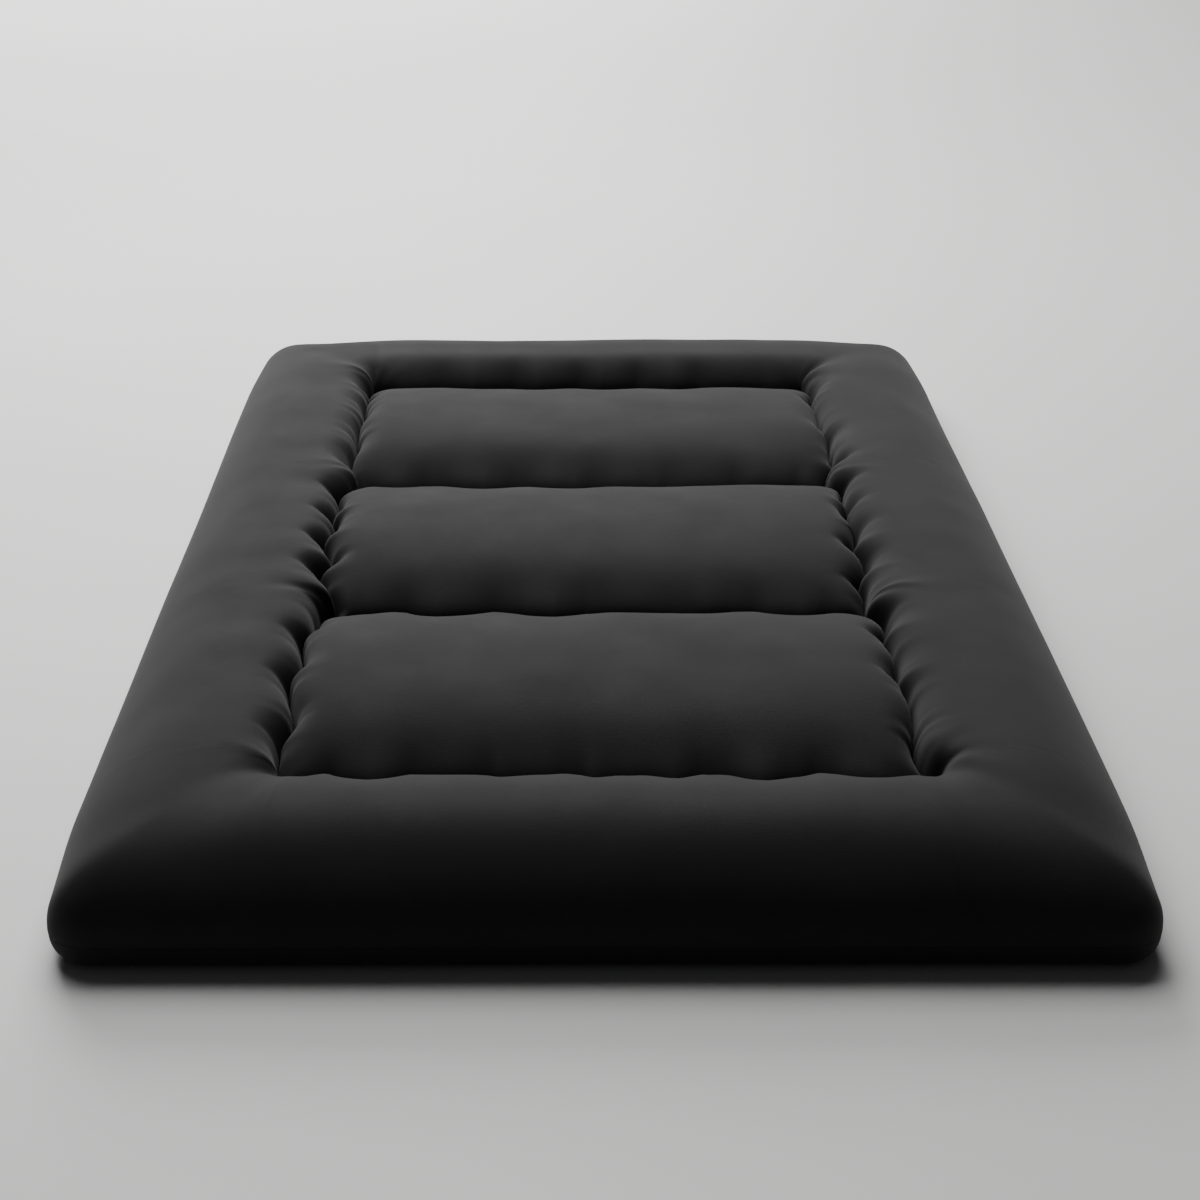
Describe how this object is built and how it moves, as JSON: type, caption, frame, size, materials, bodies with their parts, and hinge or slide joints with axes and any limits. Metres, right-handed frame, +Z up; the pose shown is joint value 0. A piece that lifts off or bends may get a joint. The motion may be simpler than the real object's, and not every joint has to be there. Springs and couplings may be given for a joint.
{
  "type": "folding futon mattress",
  "caption": "Thick quilted floor futon with a raised puffy border and a panelled centre, folding in thirds along the cross seams.",
  "frame": {"origin": "middle of the mattress's plan, on the floor under it", "axes": "+Y along the length from the foot end to the head end, +X across to the right when seen from the foot end, +Z up"},
  "size_m": [1.35, 2.03, 0.152],
  "materials": {
    "cover_top": "brushed matt microfibre",
    "cover_bottom": "plain matt weave",
    "foam": null,
    "wadding": "bonded fibre sheet",
    "fibre": "loose fibre",
    "thread": "twisted sewing thread"
  },
  "bodies": {
    "middle_section": {"foot_cross_seam_thread": "thread", "head_cross_seam_thread": "thread", "middle_bottom_cover": "cover_bottom", "middle_bottom_wadding": "wadding", "middle_core": "foam", "middle_left_bolster": "fibre", "middle_left_seam_thread": "thread", "middle_right_bolster": "fibre", "middle_right_seam_thread": "thread", "middle_top_cover": "cover_top", "middle_top_wadding": "wadding"},
    "head_section": {"head_bottom_cover": "cover_bottom", "head_bottom_wadding": "wadding", "head_core": "foam", "head_end_bolster": "fibre", "head_end_seam_thread": "thread", "head_left_bolster": "fibre", "head_left_seam_thread": "thread", "head_right_bolster": "fibre", "head_right_seam_thread": "thread", "head_top_cover": "cover_top", "head_top_wadding": "wadding"},
    "foot_section": {"foot_bottom_cover": "cover_bottom", "foot_bottom_wadding": "wadding", "foot_core": "foam", "foot_end_bolster": "fibre", "foot_end_seam_thread": "thread", "foot_left_bolster": "fibre", "foot_left_seam_thread": "thread", "foot_right_bolster": "fibre", "foot_right_seam_thread": "thread", "foot_top_cover": "cover_top", "foot_top_wadding": "wadding"}
  },
  "joints": [
    {"name": "head_fold", "type": "hinge", "parent": "middle_section", "child": "head_section", "pos_m": [0, 0.246, 0.1535], "axis": [1, 0, 0], "range_deg": [0, 180]},
    {"name": "foot_fold", "type": "hinge", "parent": "middle_section", "child": "foot_section", "pos_m": [0, -0.246, -0.0005], "axis": [1, 0, 0], "range_deg": [0, 180]}
  ]
}
